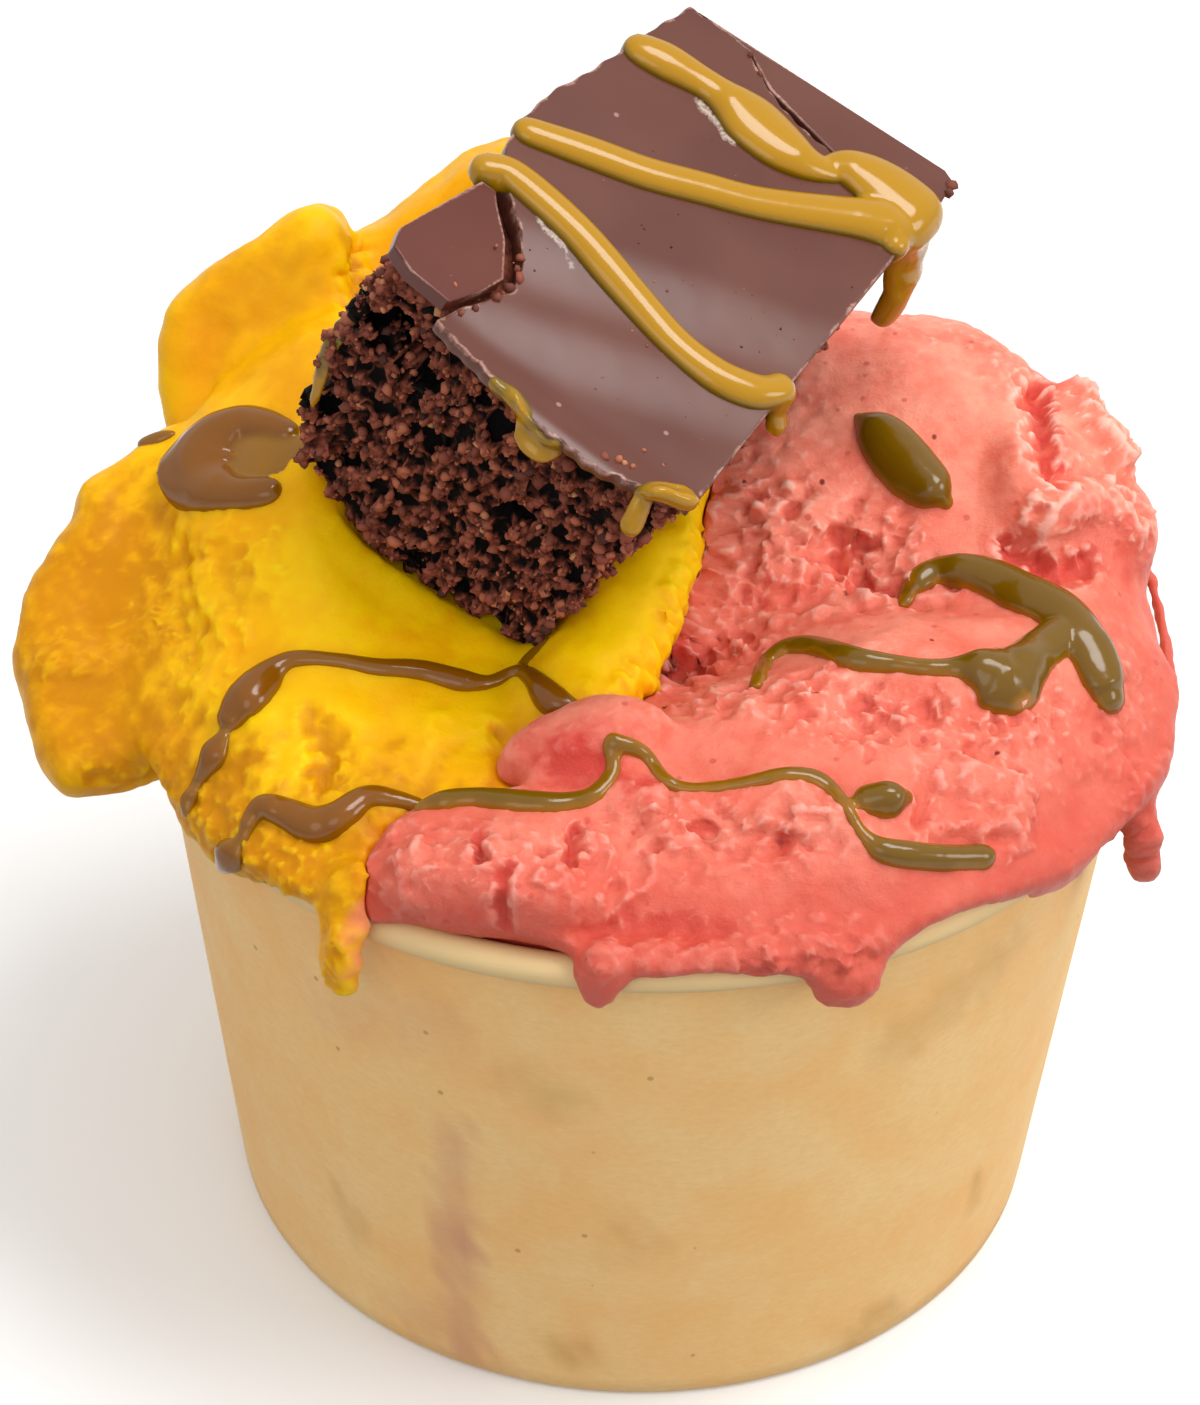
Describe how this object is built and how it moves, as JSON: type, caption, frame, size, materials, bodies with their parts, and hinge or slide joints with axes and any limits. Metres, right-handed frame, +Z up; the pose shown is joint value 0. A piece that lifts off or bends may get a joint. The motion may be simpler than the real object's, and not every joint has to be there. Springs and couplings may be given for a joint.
{
  "type": "cup of sorbet",
  "caption": "Round paper cup heaped with yellow and pink sorbet, topped with a tilted block of glazed brownie and drizzled with a thick sauce.",
  "frame": {"origin": "centre of the whole object's footprint, on the surface that the cup stands on", "axes": "+Z up; -Y towards the side that the picture faces"},
  "size_m": [0.1083, 0.0983, 0.1118],
  "materials": {
    "kraft_paper": "matt",
    "mango_sorbet": "satin",
    "strawberry_sorbet": "satin",
    "brownie_crumb": "matt",
    "chocolate_glaze": "satin"
  },
  "bodies": {
    "root": {"cup": "kraft_paper", "sorbet_mango": "mango_sorbet", "sorbet_strawberry": "strawberry_sorbet", "brownie": "brownie_crumb", "glaze_main": "chocolate_glaze", "glaze_corner_chip": "chocolate_glaze", "glaze_far_strip": "chocolate_glaze"}
  },
  "joints": []
}
